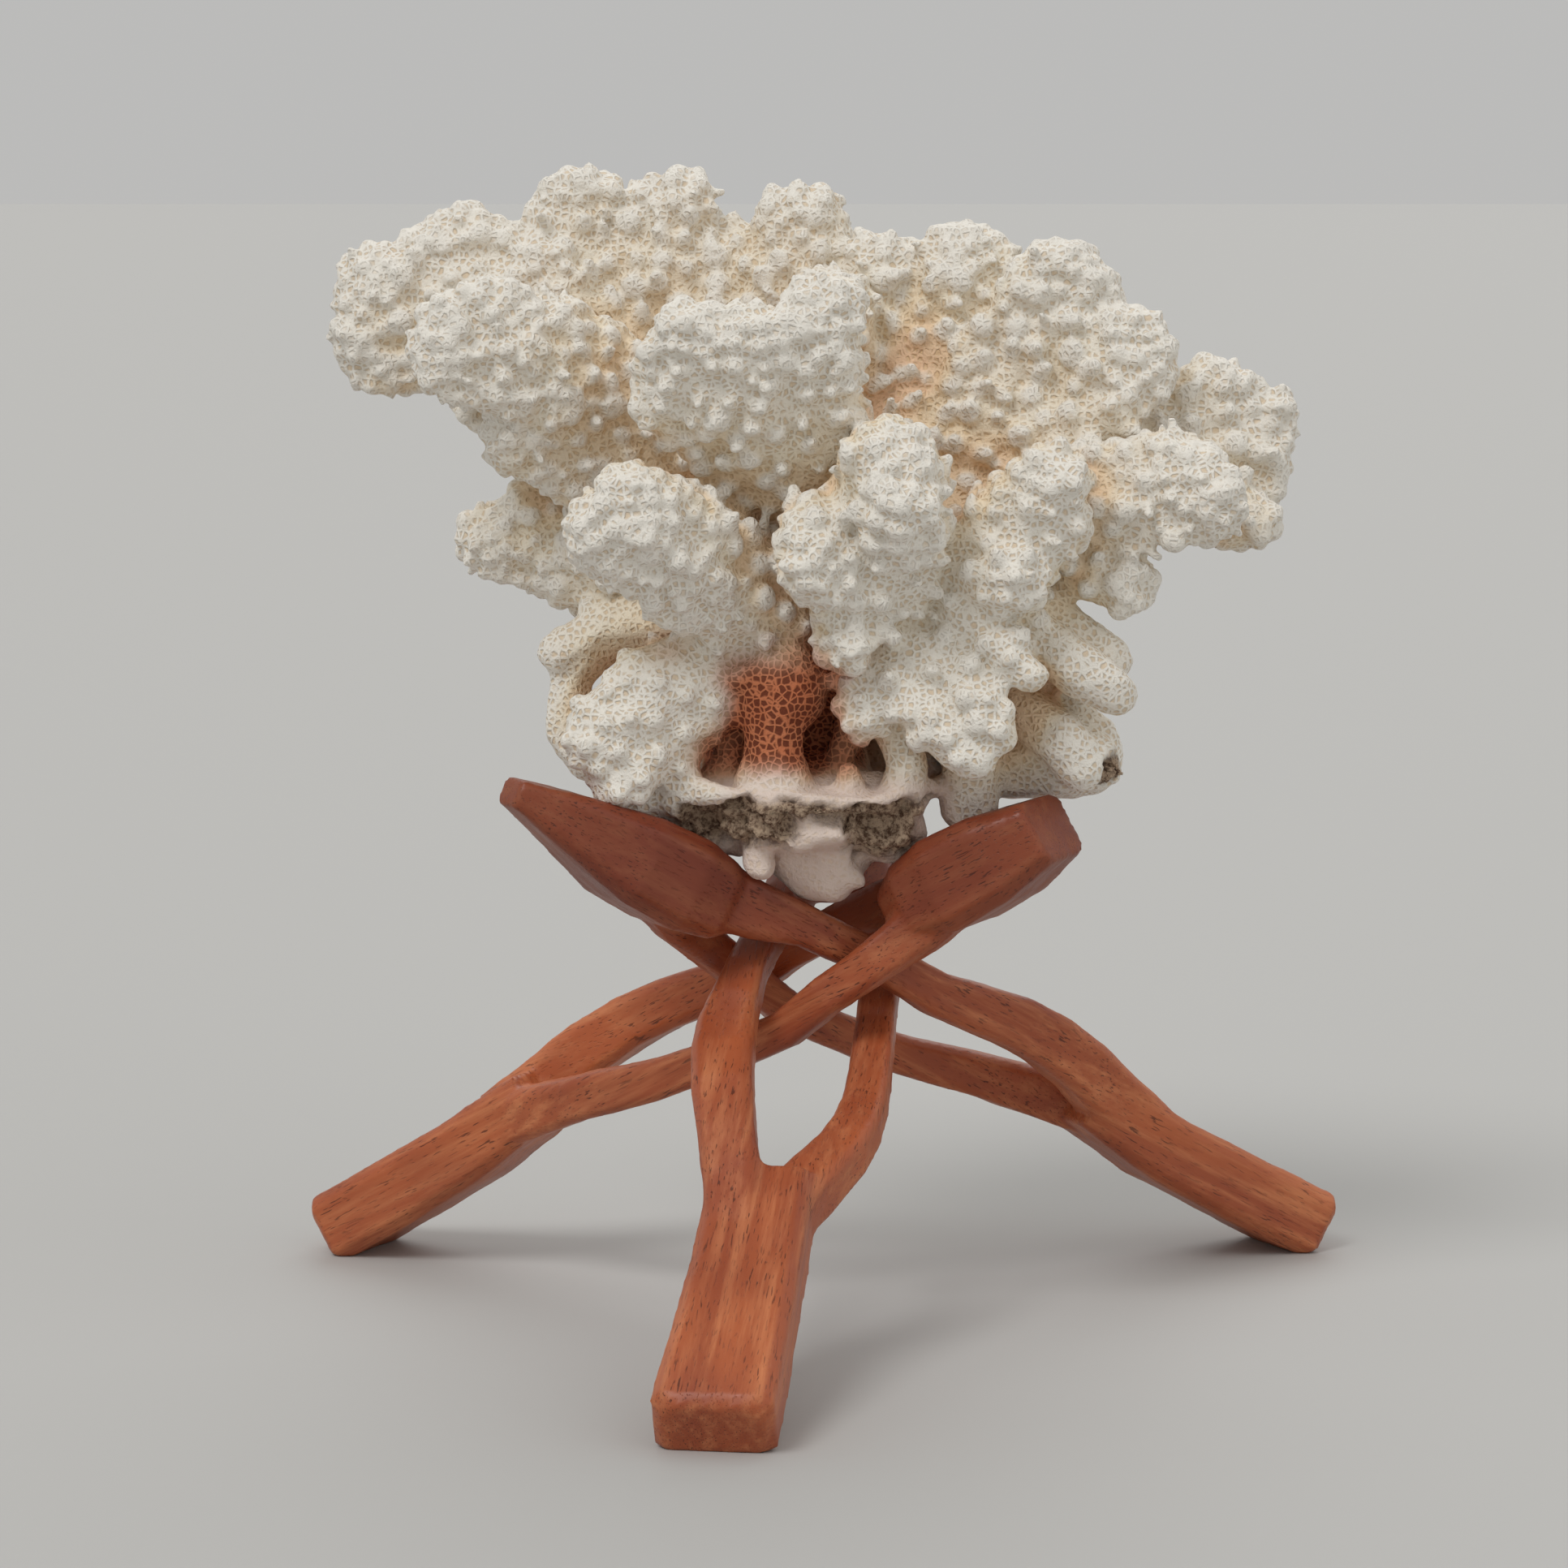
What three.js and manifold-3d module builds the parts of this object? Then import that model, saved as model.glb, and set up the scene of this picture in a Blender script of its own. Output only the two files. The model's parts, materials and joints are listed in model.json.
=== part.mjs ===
// A branching coral resting on a three-legged folding stand of interlocking carved wooden legs.
// Millimetres, +Z up. Each leg is one bar: a foot outside, an eye of two strands round the hub, and a
// leaf-shaped blade that rises on the far side and carries the coral.
import * as THREE from "three";
import { mergeVertices } from "three/addons/utils/BufferGeometryUtils.js";
import Module from "manifold-3d";

const wasm = await Module();
wasm.setup();

// Driving dimensions of the stand
const LEG_AZIMUTHS = { leg_front: -99, leg_left: 153, leg_right: 27 }; // where each foot stands, degrees
const FOOT_REACHES = { leg_front: 106.6, leg_left: 98, leg_right: 103 }; // hub axis to foot end
const FOOT_NECK = 57; // the foot is stretched to its reach beyond this distance from the hub axis
const BLADE_LENGTHS = { leg_front: 55, leg_left: 46, leg_right: 58.5 }; // hub axis to blade tip
const LEG_CHAMFER = 0.3; // corner cut, as a share of the smaller half size of the section
const FLOOR_BLOCK = 400; // side of the block that cuts the feet flat

// Driving dimensions of the coral
const LOBE_SIDES = 6; // corners of a lobe's oval section
const STEPS_PER_SPAN = 1; // sections between two stations of a lobe
const TIP_ROUNDING = 0.55; // section size at the rounded end of a lobe

const GAP = 0.6; // clearance kept between neighbouring solids
const FLATNESS = 0.24; // faces this close to one plane are merged after cutting

const WOOD = { color: 0x7d3d26, roughness: 0.45, metalness: 0 };
const WHITE_CORAL = { color: 0xebe4d8, roughness: 0.85, metalness: 0 };
const STEM_CORAL = { color: 0xd9b08c, roughness: 0.85, metalness: 0 };

// A station is [along, left, up, half width, half thickness] in a leg's own frame: along points from
// the foot to the blade with 0 at the hub, left is left when looking that way.
const FOOT = [
  [-106.6, 0, 3.8, 8.2, 5.0],
  [-104.8, 0, 4.7, 10.0, 6.5],
  [-88, 0, 13.0, 9.6, 6.5],
  [-72, 0, 21.2, 9.1, 6.3],
  [-60, 0, 28.6, 8.8, 6.0],
  [-54, 0, 32.5, 8.2, 5.2],
];
const LEFT_STRAND = [
  [-66, 3.2, 26.2, 4.6, 5.2],
  [-58, 4.6, 32.4, 4.8, 5.4],
  [-50, 7.2, 39.6, 5.0, 5.2],
  [-42, 9.2, 45.4, 5.3, 5.0],
  [-34, 10.5, 49.6, 5.3, 4.7],
  [-26, 11.2, 52.8, 4.9, 4.3],
  [-18, 11.2, 56.0, 4.2, 3.9],
  [-10, 10.4, 61.0, 3.6, 3.4],
  [-2, 8.8, 65.2, 3.4, 3.4],
  [6, 7.4, 69.4, 3.4, 3.8],
  [14, 6.0, 72.2, 3.6, 5.0],
  [22, 4.8, 75.6, 3.8, 6.0],
  [30, 3.0, 80.2, 3.8, 4.0],
];
const RIGHT_STRAND = [
  [-66, -3.2, 25.6, 4.6, 5.0],
  [-56, -4.8, 29.6, 4.8, 4.8],
  [-48, -8.0, 32.6, 4.6, 4.4],
  [-40, -11.0, 35.4, 4.2, 4.0],
  [-32, -12.4, 37.8, 4.0, 3.8],
  [-24, -12.6, 40.4, 3.8, 3.6],
  [-16, -12.4, 43.6, 3.6, 3.5],
  [-8, -11.8, 47.2, 3.5, 3.4],
  [0, -11.2, 51.0, 3.3, 3.3],
  [8, -11.0, 57.6, 3.3, 3.4],
  [16, -9.4, 63.6, 3.5, 3.6],
  [24, -5.6, 70.2, 3.8, 4.6],
  [30, -3.4, 75.0, 3.8, 4.0],
];
const BLADE = [
  [16.5, 0, 72.0, 6.6, 3.6],
  [21.5, 0, 74.6, 10.0, 7.0],
  [28, 0, 78.0, 11.4, 8.4],
  [37, 0, 83.0, 10.8, 8.0],
  [47, 0, 89.0, 7.8, 5.4],
  [56, 0, 94.2, 4.6, 3.0],
  [61, 0, 96.8, 2.4, 1.8],
];

// A merged closed geometry as a solid that can be cut.
function solidOf(geometry) {
  const bare = new THREE.BufferGeometry();
  bare.setIndex(geometry.index);
  bare.setAttribute("position", geometry.getAttribute("position"));
  const merged = mergeVertices(bare, 1e-4);
  return new wasm.Manifold(
    new wasm.Mesh({
      numProp: 3,
      vertProperties: new Float32Array(merged.attributes.position.array),
      triVerts: new Uint32Array(merged.index.array),
    }),
  );
}

function geometryOf(solid) {
  const mesh = solid.getMesh();
  const geometry = new THREE.BufferGeometry();
  geometry.setAttribute("position", new THREE.BufferAttribute(new Float32Array(mesh.vertProperties), 3));
  geometry.setIndex(new THREE.BufferAttribute(new Uint32Array(mesh.triVerts), 1));
  return geometry;
}

// One closed skin through rings of points, with a fan of triangles on each end.
function skin(rings) {
  const sides = rings[0].length;
  const points = rings.flat();
  const faces = [];
  for (let r = 0; r + 1 < rings.length; r += 1) {
    for (let k = 0; k < sides; k += 1) {
      const a = r * sides + k;
      const b = r * sides + ((k + 1) % sides);
      faces.push(a, b, b + sides, a, b + sides, a + sides);
    }
  }
  for (const [ring, flip] of [[0, true], [rings.length - 1, false]]) {
    const centre = points.length;
    const middle = new THREE.Vector3();
    rings[ring].forEach((p) => middle.addScaledVector(p, 1 / sides));
    points.push(middle);
    for (let k = 0; k < sides; k += 1) {
      const a = ring * sides + k;
      const b = ring * sides + ((k + 1) % sides);
      faces.push(...(flip ? [centre, b, a] : [centre, a, b]));
    }
  }
  const geometry = new THREE.BufferGeometry().setFromPoints(points);
  geometry.setIndex(faces);
  return geometry;
}

// Rings of a section swept along stations. side is the direction of the half width; corners gives the
// section's corners for a half width and a half thickness.
function sweep(stations, side, corners) {
  const centres = stations.map(([x, y, z]) => new THREE.Vector3(x, y, z));
  return centres.map((centre, i) => {
    const before = centres[Math.max(i - 1, 0)];
    const after = centres[Math.min(i + 1, centres.length - 1)];
    const along = after.clone().sub(before).normalize();
    const across = side.clone().addScaledVector(along, -side.dot(along)).normalize();
    const over = new THREE.Vector3().crossVectors(along, across);
    return corners(stations[i][3], stations[i][4]).map(([w, t]) =>
      centre.clone().addScaledVector(across, w).addScaledVector(over, t),
    );
  });
}

function chamferedBar(halfWidth, halfThickness) {
  const c = LEG_CHAMFER * Math.min(halfWidth, halfThickness);
  const w = halfWidth;
  const t = halfThickness;
  return [[w, c - t], [w, t - c], [w - c, t], [c - w, t], [-w, t - c], [-w, c - t], [c - w, -t], [w - c, -t]];
}

// A polygon with the area of the oval of those half sizes.
function oval(halfWidth, halfThickness) {
  const step = (2 * Math.PI) / LOBE_SIDES;
  const size = Math.sqrt(step / Math.sin(step));
  return Array.from({ length: LOBE_SIDES }, (_, k) => {
    const turn = (k + 0.5) * step;
    return [halfWidth * size * Math.cos(turn), halfThickness * size * Math.sin(turn)];
  });
}

// Longer and thicker by swell all round, for cutting a neighbour clear of it.
function swollen(stations, swell) {
  const grown = stations.map(([x, y, z, w, t]) => [x, y, z, w + swell, t + swell]);
  for (const [end, next] of [[0, 1], [grown.length - 1, grown.length - 2]]) {
    const tip = new THREE.Vector3(...stations[end].slice(0, 3));
    const inner = new THREE.Vector3(...stations[next].slice(0, 3));
    tip.addScaledVector(tip.clone().sub(inner).normalize(), swell);
    [grown[end][0], grown[end][1], grown[end][2]] = tip.toArray();
  }
  return grown;
}

// ---- the stand ----

// The blade cut off at its own length, with one last section there.
function bladeTo(length) {
  const kept = BLADE.filter(([along]) => along < length);
  const last = kept[kept.length - 1];
  const next = BLADE[kept.length] ?? BLADE[BLADE.length - 1];
  const share = next === last ? 0 : (length - last[0]) / (next[0] - last[0]);
  const end = last.map((value, i) => value + (next[i] - value) * share);
  return [...kept, end];
}

// The foot stretched so that its last section is at its own reach.
function footTo(reach) {
  const stretch = (reach - FOOT_NECK) / (-FOOT[0][0] - FOOT_NECK);
  return FOOT.map(([along, ...rest]) => [(along + FOOT_NECK) * stretch - FOOT_NECK, ...rest]);
}

function legSolid(name, swell) {
  const side = new THREE.Vector3(0, 1, 0);
  const bars = [footTo(FOOT_REACHES[name]), LEFT_STRAND, RIGHT_STRAND, bladeTo(BLADE_LENGTHS[name])];
  const solids = bars.map((stations) => solidOf(skin(sweep(swollen(stations, swell), side, chamferedBar))));
  const leg = solids.reduce((whole, bar) => whole.add(bar));
  const block = new THREE.BoxGeometry(FLOOR_BLOCK, FLOOR_BLOCK, FLOOR_BLOCK);
  block.translate(0, 0, -FLOOR_BLOCK / 2);
  const standing = leg.subtract(solidOf(block));
  return standing.rotate([0, 0, LEG_AZIMUTHS[name] + 180]);
}

// ---- the coral ----

// A lobe's stations are [x, y, z, half width, half thickness] from its root to its tip, and across is
// the direction of its width. Smooth curves fill in between the stations.
function lobeSolid({ across, stations }, swell) {
  const grown = swollen(stations, swell);
  const centres = grown.map(([x, y, z]) => new THREE.Vector3(x, y, z));
  const path = new THREE.CatmullRomCurve3(centres, false, "centripetal");
  const sizes = new THREE.CatmullRomCurve3(grown.map(([, , , w, t], i) => new THREE.Vector3(w, t, i * 10)));
  const count = (grown.length - 1) * STEPS_PER_SPAN;
  const filled = [];
  for (let i = 0; i <= count; i += 1) {
    const p = path.getPoint(i / count);
    const s = sizes.getPoint(i / count);
    filled.push([p.x, p.y, p.z, s.x, s.y]);
  }
  const [tip, inner] = [filled[count], filled[count - 1]].map((f) => new THREE.Vector3(...f.slice(0, 3)));
  const [endWidth, endThickness] = filled[count].slice(3).map((size) => size * TIP_ROUNDING);
  const beyond = tip.clone().addScaledVector(tip.clone().sub(inner).normalize(), endThickness);
  filled.push([...beyond.toArray(), endWidth, endThickness]);
  return solidOf(skin(sweep(filled, new THREE.Vector3(...across), oval)));
}

const X = [1, 0, 0];
const Z = [0, 0, 1];
const RISING = [0.55, 0, 0.83];
const FALLING = [-0.5, 0, 0.86];
const LEANING = [0.8, 0, -0.55];

const CORAL = {
  coral_base: [
    {
      across: X,
      stations: [
        [0, 0, 83, 15, 12],
        [0, -2, 88, 22, 20],
        [-1, -2, 93, 24, 23],
        [-1, 0, 98, 20, 19],
      ],
    },
    { across: X, stations: [[0, -4, 88, 13, 11], [2, -8, 81, 8, 7], [4, -11, 77, 4, 3.5]] },
    { across: X, stations: [[-7, -10, 92, 4, 4], [-10, -15, 86, 3.2, 3], [-11, -17, 83, 2.6, 2.4]] },
    { across: X, stations: [[1, 6, 96, 18, 13], [1, 6, 104, 15, 11], [1, 5, 112, 17, 12]] },
    {
      across: X,
      stations: [
        [-7, -17, 95, 11, 4],
        [-7, -17, 101, 5.2, 4],
        [-7, -16, 107, 5.2, 4],
        [-6, -12, 113, 9, 6],
      ],
    },
    {
      across: X,
      stations: [
        [-24, -14, 94, 4.5, 5],
        [-25, -15, 101, 3.2, 3.2],
        [-22, -13, 108, 5, 4.5],
      ],
    },
    { across: X, stations: [[15, -15, 94, 5, 4.5], [15, -16, 101, 4, 3.6], [14, -14, 109, 5, 4.5]] },
    { across: X, stations: [[24, -8, 94, 6, 7], [27, -11, 100, 4.6, 4.6], [25, -10, 108, 5, 5]] },
  ],
  coral_trunk: [
    {
      across: X,
      stations: [
        [1, 3, 112, 20, 13],
        [0, 2, 120, 24, 14],
        [-2, 4, 132, 22, 11],
        [-5, 6, 144, 24, 8],
      ],
    },
    {
      across: X,
      stations: [
        [-9, -4, 112, 12, 8],
        [-9, -1, 124, 15, 8],
        [-15, 4, 138, 18, 7],
        [-20, 8, 150, 17, 6],
      ],
    },
    {
      across: X,
      stations: [
        [10, -4, 114, 13, 8],
        [16, -3, 126, 14, 8],
        [20, 0, 140, 15, 7],
        [18, 4, 150, 13, 6],
      ],
    },
  ],
  coral_branch_left: [
    {
      across: Z,
      stations: [
        [-20, 7, 150, 11, 6],
        [-34, 0, 160, 12, 6],
        [-47, -8, 168, 11, 5.4],
        [-58, -13, 171, 10.4, 5],
        [-66, -16, 171, 8.4, 4.2],
      ],
    },
    {
      across: X,
      stations: [
        [-36, 7, 158, 11, 5.4],
        [-49, 12, 169, 13, 5.2],
        [-61, 15, 180, 12.5, 4.8],
        [-67, 16, 188, 8.6, 4],
      ],
    },
    {
      across: Z,
      stations: [
        [-50, 9, 166, 9, 4.8],
        [-64, 13, 173, 11.6, 5],
        [-76, 13, 174, 12, 4.6],
        [-81.5, 12, 174, 9.6, 3.8],
      ],
    },
    { across: Z, stations: [[-30, 4, 150, 8, 5.5], [-42, -1, 151, 7.4, 4.8], [-54, -7, 155, 5.2, 4]] },
    { across: Z, stations: [[-46, 6, 160, 7, 4.6], [-56, 4, 160, 6, 4], [-61, 2, 161, 4.6, 3.2]] },
  ],
  coral_branch_top_left: [
    {
      across: X,
      stations: [
        [-22, 10, 150, 14, 6.4],
        [-29, 15, 164, 16, 6],
        [-33, 18, 178, 16, 5.4],
        [-34, 18, 188, 13, 4.6],
      ],
    },
    {
      across: X,
      stations: [
        [-38, 17, 178, 9, 5],
        [-41, 18, 190, 8.4, 4.4],
        [-41, 18, 197.5, 6.8, 3.6],
      ],
    },
    {
      across: X,
      stations: [
        [-28, 17, 178, 9, 5],
        [-25.5, 17, 190, 8.2, 4.4],
        [-25, 17, 197, 6.8, 3.6],
      ],
    },
    {
      across: X,
      stations: [
        [-36, 12, 160, 10, 5.6],
        [-46, 12, 174, 10, 5.2],
        [-51, 11, 183, 7.4, 4.2],
      ],
    },
    { across: X, stations: [[-17, 14, 164, 9, 5.6], [-14, 17, 178, 7.6, 4.8], [-12, 18, 189, 5, 3.6]] },
  ],
  coral_branch_top_centre: [
    {
      across: X,
      stations: [
        [-1, 8, 148, 11, 6.4],
        [0, 12, 163, 13.5, 6],
        [-1, 14, 179, 11, 5.2],
        [-3, 14, 194, 7, 4],
      ],
    },
    { across: X, stations: [[4, 10, 162, 9, 5.6], [10, 9, 176, 9, 5.2], [13, 8, 185, 6.4, 4]] },
    { across: X, stations: [[3, 6, 160, 7.6, 5.6], [3, -1, 172, 7, 4.8], [3, -4, 180, 5.4, 3.8]] },
    { across: X, stations: [[-8, 14, 166, 7, 5], [-9, 20, 179, 6, 4.4], [-9, 22, 187, 4.4, 3.4]] },
  ],
  coral_branch_front_centre: [
    {
      across: X,
      stations: [
        [2, -1, 134, 8, 7],
        [0, -10, 146, 11, 6.4],
        [-7, -19, 157, 16, 6],
        [-12, -26, 167, 19, 5.4],
        [-13, -29, 174, 16.5, 4.2],
      ],
    },
    { across: X, stations: [[-2, -22, 164, 8, 5.4], [1, -27, 175, 6.4, 4.8], [2, -29, 180, 4.8, 3.6]] },
    {
      across: X,
      stations: [
        [-15, -24, 164, 8, 5.2],
        [-20, -28, 172, 6.4, 4.4],
        [-22, -29, 176, 4.6, 3.4],
      ],
    },
  ],
  coral_branch_top_right: [
    {
      across: X,
      stations: [
        [13, 3, 142, 10, 7],
        [20, 5, 156, 11.5, 6.2],
        [26, 6, 172, 10.5, 5.6],
        [27, 6, 187, 8, 4.2],
      ],
    },
    {
      across: X,
      stations: [
        [24, 3, 150, 11, 6.4],
        [34, 1, 164, 11.5, 6],
        [43, -1, 177, 10.5, 5.4],
        [46, -2, 184, 8, 4.2],
      ],
    },
    {
      across: Z,
      stations: [
        [32, 1, 154, 9, 6],
        [46, -2, 163, 9.6, 5.6],
        [55, -4, 168, 9, 5],
        [59, -4, 169, 7, 4],
      ],
    },
    { across: Z, stations: [[36, 0, 154, 7.4, 5.6], [46, -4, 158, 7, 5], [53, -6, 159, 5, 4]] },
    { across: X, stations: [[34, 6, 158, 9, 5.6], [37, 12, 170, 8, 5], [39, 14, 178, 6, 4]] },
  ],
  coral_branch_right: [
    {
      across: Z,
      stations: [
        [27, 2, 139, 9, 7],
        [43, 2, 146, 9.4, 6.4],
        [59, 4, 152, 11, 6],
        [73, 6, 152, 12.5, 5.4],
        [80.5, 6, 151, 10, 4.4],
      ],
    },
    { across: X, stations: [[64, 5, 151, 9, 5.6], [70, 5, 159, 8.4, 5], [72, 5, 163.5, 6.4, 3.8]] },
    {
      across: Z,
      stations: [
        [36, -3, 141, 8.4, 6.4],
        [50, -12, 144, 9, 6],
        [62, -17, 146, 9, 5.6],
        [69, -20, 145, 7, 4.4],
      ],
    },
    { across: Z, stations: [[42, -6, 136, 5.4, 5], [51, -11, 131.5, 5, 4.8], [55, -13, 129, 4, 3.8]] },
    { across: Z, stations: [[66, 2, 144, 6.4, 5], [74, 0, 140, 5.2, 4.4], [77, -1, 138, 4, 3.4]] },
  ],
  coral_branch_front_right: [
    {
      across: X,
      stations: [
        [15, -7, 121, 10, 8],
        [12, -18, 132, 9.4, 7.6],
        [12, -28, 146, 8.6, 7],
        [12.5, -33, 155, 6.4, 5],
      ],
    },
    {
      across: [0, 0.3, 1],
      stations: [
        [14, -13, 127, 8.4, 7],
        [5, -25, 135, 9.4, 6.8],
        [-2, -31, 138, 7.8, 5.4],
      ],
    },
    {
      across: X,
      stations: [
        [8, -20, 128, 5.2, 4.8],
        [5.5, -25, 122, 4.8, 4.4],
        [4.5, -27, 119, 3.4, 3.2],
      ],
    },
    { across: X, stations: [[13, -22, 136, 8, 6], [14, -33, 142, 6.6, 5], [14, -37, 146, 5, 4]] },
  ],
  coral_branch_front_left: [
    {
      across: RISING,
      stations: [
        [-2, -5, 120, 9, 7.4],
        [-13, -14, 128, 10, 7],
        [-23, -24, 136, 10.6, 6.6],
        [-32, -31, 142, 10, 6],
        [-36.5, -33, 145, 7.6, 4.8],
      ],
    },
    {
      across: RISING,
      stations: [
        [-12, -12, 132, 7, 6],
        [-19, -15, 141, 6, 5],
        [-22, -16, 145, 4.4, 3.8],
      ],
    },
  ],
  coral_branch_left_lower: [
    {
      across: Z,
      stations: [
        [-18, 4, 126, 10, 8],
        [-34, 7, 131, 9, 6.6],
        [-47, 9, 134, 7.6, 5.6],
        [-59, 10, 136, 5.2, 4.4],
      ],
    },
    { across: X, stations: [[-46, 9, 135, 5.4, 4.6], [-50, 9, 140, 4.4, 4], [-51, 9, 143, 3.2, 3]] },
  ],
  coral_branch_left_loop: [
    { across: Z, stations: [[-22, 0, 121, 6, 5.6], [-36, 1, 121, 4.6, 4.4], [-44.5, 1, 115, 3.8, 3.6]] },
    {
      across: X,
      stations: [
        [-36, 2, 120, 4.4, 4.2],
        [-42.5, 2, 111, 3.8, 3.8],
        [-42.5, 0, 103, 4.6, 4.2],
        [-38, -3, 98, 4.6, 4.4],
      ],
    },
    { across: Z, stations: [[-22, 4, 96, 4.6, 7], [-32, -1, 97, 4.4, 6], [-39, -4, 98, 3.8, 4.4]] },
  ],
  coral_branch_lower_left: [
    {
      across: FALLING,
      stations: [
        [-9, -7, 113, 8, 6.4],
        [-19, -13, 113, 9, 6],
        [-29, -18, 109.5, 9, 5.4],
        [-36, -21, 104.5, 7.2, 4.8],
        [-39, -22, 101, 5.4, 4],
      ],
    },
    {
      across: FALLING,
      stations: [
        [-20, -11, 107, 5.4, 5],
        [-28, -16, 101, 5.6, 5.4],
        [-34.5, -18, 97, 4.8, 4.4],
      ],
    },
  ],
  coral_branch_lower_right: [
    {
      across: LEANING,
      stations: [
        [20, -8, 123, 11, 8],
        [30, -17, 133, 10.4, 7.4],
        [38, -24, 143, 8.8, 6.2],
        [42, -27, 150.5, 6.4, 4.8],
      ],
    },
    {
      across: X,
      stations: [
        [17, -9, 122, 9.4, 7.4],
        [18, -17, 117, 9, 6.4],
        [19, -21, 113.5, 7.2, 4.8],
      ],
    },
    { across: X, stations: [[9, -16, 116, 4.8, 4.6], [9, -21, 109, 3.9, 3.8], [9, -22, 106, 3, 2.8]] },
    { across: LEANING, stations: [[28, -16, 128, 7, 6], [33, -25, 132, 6, 5], [36, -28, 135, 4.6, 4]] },
  ],
  coral_branch_right_fingers: [
    {
      across: RISING,
      stations: [
        [22, -12, 124, 6.4, 6],
        [30, -16, 120.5, 5.2, 5],
        [35, -18, 116.5, 3.8, 3.6],
      ],
    },
    {
      across: RISING,
      stations: [
        [26, -6, 127, 7, 6.6],
        [38, -9, 122.5, 6.6, 6],
        [46, -10.5, 116.5, 6.2, 5.6],
        [49, -11, 113, 5, 4.6],
      ],
    },
    { across: RISING, stations: [[44, -9, 119, 4.6, 4.6], [52, -10, 115, 3.6, 3.6]] },
  ],
  coral_branch_right_base: [
    {
      across: X,
      stations: [
        [27, -4, 119, 6, 6],
        [35, -4, 110, 5.6, 5.4],
        [44, -6, 103, 6, 5.8],
        [50, -7, 100, 4.8, 4.8],
      ],
    },
    {
      across: [0, 1, 0.2],
      stations: [
        [20, 2, 99, 13, 6.4],
        [34, -2, 98, 9, 6.6],
        [45, -6, 98, 6.6, 6],
        [51, -7, 97.5, 4.4, 4.6],
      ],
    },
    {
      across: RISING,
      stations: [
        [20, -14, 113, 5.6, 5.4],
        [25, -19, 107, 5.6, 5],
        [27, -20, 103, 4.4, 4],
      ],
    },
  ],
  coral_branch_back_left: [
    {
      across: X,
      stations: [
        [-12, 12, 130, 12, 8],
        [-24, 25, 142, 14, 6.6],
        [-34, 36, 154, 13, 5.8],
        [-39, 41, 161, 9.6, 4.4],
      ],
    },
    { across: X, stations: [[-16, 14, 122, 10, 8], [-30, 25, 124, 9, 6.4], [-38, 31, 127, 6.6, 4.6]] },
    { across: X, stations: [[-14, 14, 144, 10, 7], [-19, 26, 158, 10, 6], [-22, 31, 168, 7.4, 4.4]] },
  ],
  coral_branch_back_centre: [
    {
      across: X,
      stations: [
        [2, 14, 131, 12, 8],
        [3, 30, 145, 14, 6.6],
        [3, 42, 158, 13, 5.6],
        [2, 47, 167, 9.4, 4.4],
      ],
    },
    { across: X, stations: [[3, 15, 118, 11, 8], [5, 32, 120, 11, 6.6], [5, 45, 124, 8.4, 4.8]] },
    { across: X, stations: [[8, 14, 146, 10, 7], [12, 26, 160, 10, 6], [13, 30, 170, 7.4, 4.4]] },
  ],
  coral_branch_back_right: [
    {
      across: X,
      stations: [
        [16, 12, 130, 12, 8],
        [28, 25, 140, 13, 6.6],
        [38, 34, 150, 12, 5.8],
        [43, 38, 157, 9, 4.4],
      ],
    },
    { across: X, stations: [[18, 13, 120, 10, 8], [29, 25, 122, 8.6, 6.2], [34, 31, 125, 6.4, 4.6]] },
  ],
};

function branchSolid(lobes, swell) {
  return lobes.map((lobe) => lobeSolid(lobe, swell)).reduce((whole, lobe) => whole.add(lobe));
}

// The biggest body of a solid that a cut may have left in several.
function biggest(solid) {
  const bodies = solid.decompose();
  return bodies.reduce((best, body) => (body.volume() > best.volume() ? body : best));
}

function meshOf(name, solid, finish) {
  const mesh = new THREE.Mesh(geometryOf(solid), new THREE.MeshStandardMaterial(finish));
  mesh.name = name;
  return mesh;
}

const hub = new THREE.Group();
let taken = null;
for (const name of Object.keys(LEG_AZIMUTHS)) {
  const leg = legSolid(name, 0);
  hub.add(meshOf(name, (taken ? leg.subtract(taken) : leg).simplify(FLATNESS / 2), WOOD));
  const grown = legSolid(name, GAP);
  taken = taken ? taken.add(grown) : grown;
}
for (const [name, lobes] of Object.entries(CORAL)) {
  const cut = biggest(branchSolid(lobes, 0).subtract(taken).simplify(FLATNESS));
  const stem = name === "coral_base" || name === "coral_trunk";
  hub.add(meshOf(name, cut, stem ? STEM_CORAL : WHITE_CORAL));
  taken = taken.add(branchSolid(lobes, GAP));
}

// The whole object stands with the middle of its outline over the origin.
const middle = new THREE.Box3().setFromObject(hub).getCenter(new THREE.Vector3());
hub.position.set(-middle.x, -middle.y, 0);
const object = new THREE.Group();
object.add(hub);

export default object;
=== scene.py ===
"""A white branching coral on a three-legged stand of interlocking carved legs.

The coral's skin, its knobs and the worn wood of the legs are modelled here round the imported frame.
Metres, +Z up, in the frame's own coordinates.
"""
import json
import math
from itertools import product

import bmesh
import bpy
import numpy as np
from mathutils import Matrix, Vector
from mathutils.bvhtree import BVHTree
from mathutils.kdtree import KDTree


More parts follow.
